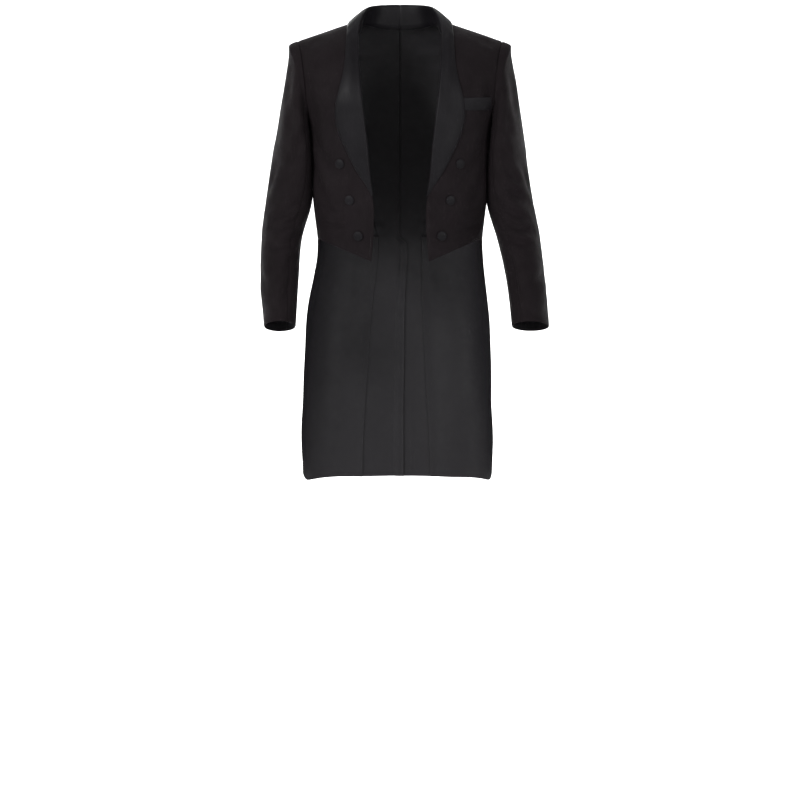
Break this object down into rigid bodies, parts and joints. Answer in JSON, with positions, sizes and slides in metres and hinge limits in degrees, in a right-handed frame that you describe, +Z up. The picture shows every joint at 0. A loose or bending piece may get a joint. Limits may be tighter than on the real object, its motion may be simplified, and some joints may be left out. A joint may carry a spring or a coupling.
{
  "type": "tailcoat",
  "caption": "Black evening tailcoat with a satin shawl collar, cut away in front to the waist, with long tails behind, in its hollow worn form.",
  "frame": {"origin": "between the shoulders at the base of the neck, where the coat hangs on its wearer", "axes": "+Z up, -Y towards the coat's front, +X towards the wearer's left"},
  "size_m": [0.5838, 0.2759, 0.9874],
  "materials": {
    "wool": "matte fine wool twill",
    "satin": "soft satin",
    "button_satin": "satin over a button mould"
  },
  "bodies": {
    "root": {"forepart_left": "wool", "side_body_left": "wool", "back_left": "wool", "skirt_left": "wool", "top_sleeve_left": "wool", "under_sleeve_left": "wool", "shawl_left": "satin", "button_upper_left": "button_satin", "button_middle_left": "button_satin", "button_lower_left": "button_satin", "button_back_left": "button_satin", "forepart_right": "wool", "side_body_right": "wool", "back_right": "wool", "skirt_right": "wool", "top_sleeve_right": "wool", "under_sleeve_right": "wool", "shawl_right": "satin", "button_upper_right": "button_satin", "button_middle_right": "button_satin", "button_lower_right": "button_satin", "button_back_right": "button_satin", "breast_welt": "satin"}
  },
  "joints": []
}
